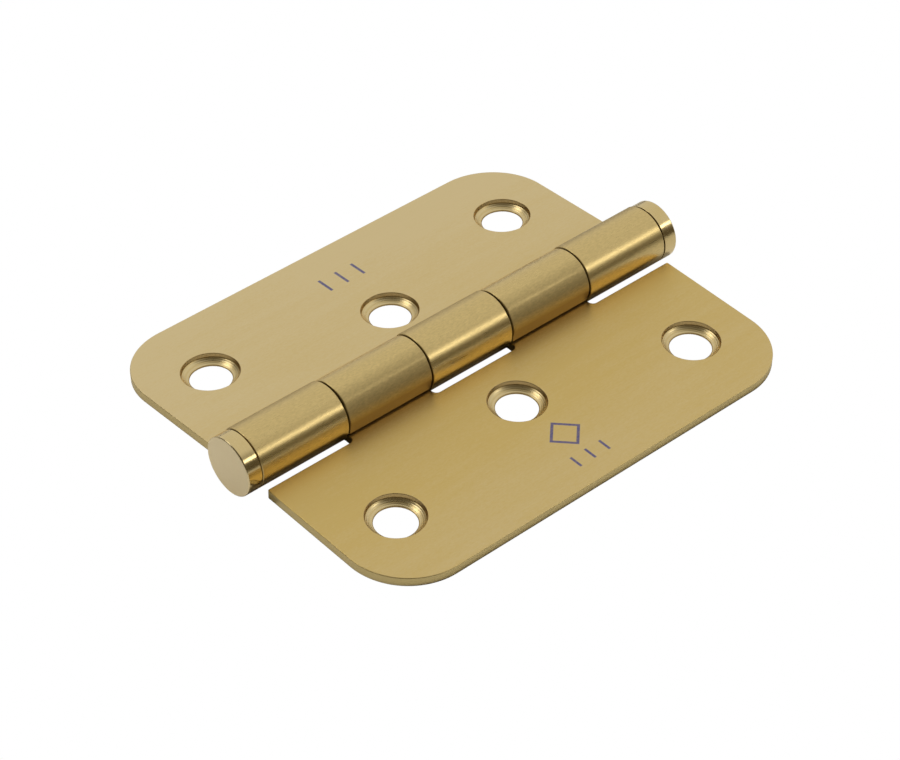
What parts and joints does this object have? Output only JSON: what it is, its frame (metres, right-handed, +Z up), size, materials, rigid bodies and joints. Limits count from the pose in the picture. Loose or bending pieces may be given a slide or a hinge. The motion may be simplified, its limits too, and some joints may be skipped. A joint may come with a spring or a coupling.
{
  "type": "door hinge",
  "caption": "Butt door hinge with round-cornered sheet leaves, knuckles curled round a plain capped pin, and staggered countersunk screw holes.",
  "frame": {"origin": "middle of the pin axis, half way along the barrel", "axes": "+Y along the pin, +X towards the leaf with two knuckles, +Z up, away from the leaves' outer faces, with the hinge lying open on its barrel and on its leaves' outer edges"},
  "size_m": [0.0652, 0.081, 0.0092],
  "materials": {
    "leaf_sheet": "satin brushed, coated in a brass colour",
    "cap_turned": "finely turned, coated in a brass colour",
    "pin_steel": "drawn bright"
  },
  "bodies": {
    "fixed_leaf": {"three_knuckle_leaf": "leaf_sheet", "hinge_pin": "pin_steel", "near_cap": "cap_turned", "far_cap": "cap_turned"},
    "swinging_leaf": {"two_knuckle_leaf": "leaf_sheet"}
  },
  "joints": [
    {"name": "leaf_swing", "type": "hinge", "parent": "fixed_leaf", "child": "swinging_leaf", "pos_m": [0, 0, 0], "axis": [0, -1, 0], "range_deg": [-105, 190]}
  ]
}
